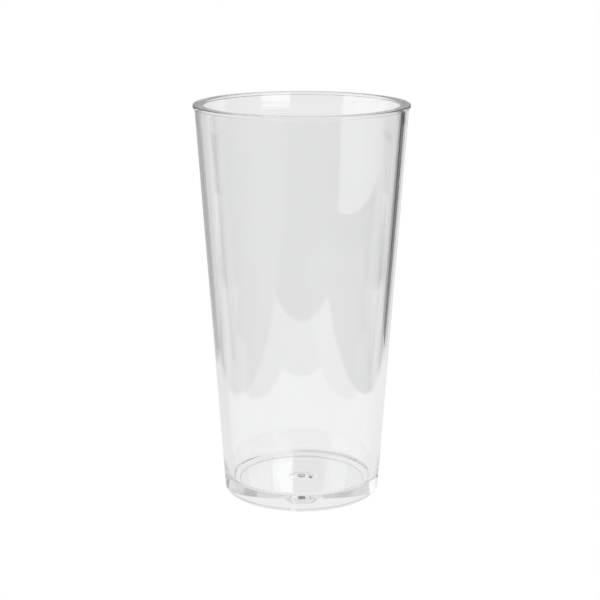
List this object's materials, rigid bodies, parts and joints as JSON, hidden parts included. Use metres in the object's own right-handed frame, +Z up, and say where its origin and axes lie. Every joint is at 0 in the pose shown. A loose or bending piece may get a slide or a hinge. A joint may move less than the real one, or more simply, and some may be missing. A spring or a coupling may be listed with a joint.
{
  "type": "pint glass",
  "caption": "Tall tapered clear pint tumbler with a rounded rim bead, thick floor and recessed foot ring.",
  "frame": {"origin": "middle of the circle that the glass stands on, at table height", "axes": "+Z up along the axis of the glass, from the foot to the rim"},
  "size_m": [0.0868, 0.0868, 0.161],
  "materials": {
    "clear_plastic": "clear, colourless polycarbonate with a polished, very slightly rippled moulded surface"
  },
  "bodies": {
    "root": {"rim_bead": "clear_plastic", "side_wall": "clear_plastic", "foot_ring": "clear_plastic", "base_floor": "clear_plastic", "gate_vestige": "clear_plastic"}
  },
  "joints": []
}
